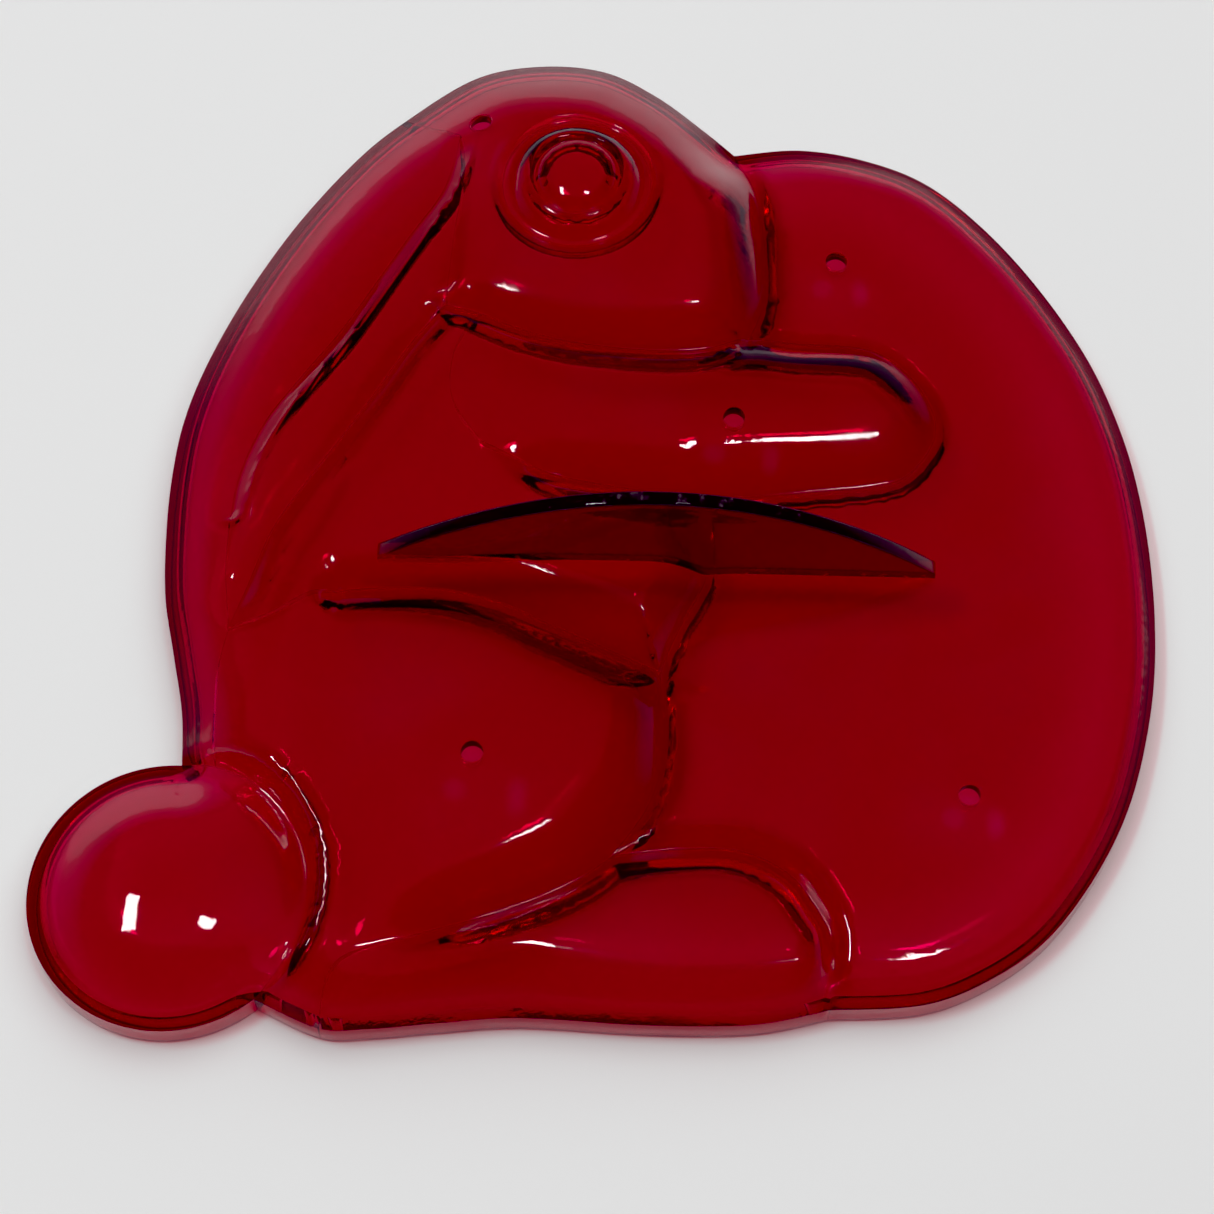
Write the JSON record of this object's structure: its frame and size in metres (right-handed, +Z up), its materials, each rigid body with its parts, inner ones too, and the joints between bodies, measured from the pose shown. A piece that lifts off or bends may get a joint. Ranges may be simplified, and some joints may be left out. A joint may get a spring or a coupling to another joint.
{
  "type": "relief dough cutter",
  "caption": "Thin clear red shell in relief, open underneath, shaped as a crouching rabbit hugging a large egg, with vent holes and an upright half-moon finger grip.",
  "frame": {"origin": "middle of the footprint, on the plane that the rim of the skirt stands on", "axes": "+Z up out of the relief, +X from the tail towards the egg, +Y from the feet towards the head"},
  "size_m": [0.1112, 0.1091, 0.0228],
  "materials": {
    "clear_red_shell": "glossy transparent ruby red moulded plastic, 1.5 mm wall",
    "clear_red_grip": "same plastic seen edge on, with pale scuffs along its top edge"
  },
  "bodies": {
    "root": {"head": "clear_red_shell", "back_ear": "clear_red_shell", "front_ear": "clear_red_shell", "chest": "clear_red_shell", "arm": "clear_red_shell", "haunch": "clear_red_shell", "foot": "clear_red_shell", "egg": "clear_red_shell", "tail": "clear_red_shell", "eye_ring": "clear_red_shell", "eye_button": "clear_red_shell", "grip": "clear_red_grip"}
  },
  "joints": []
}
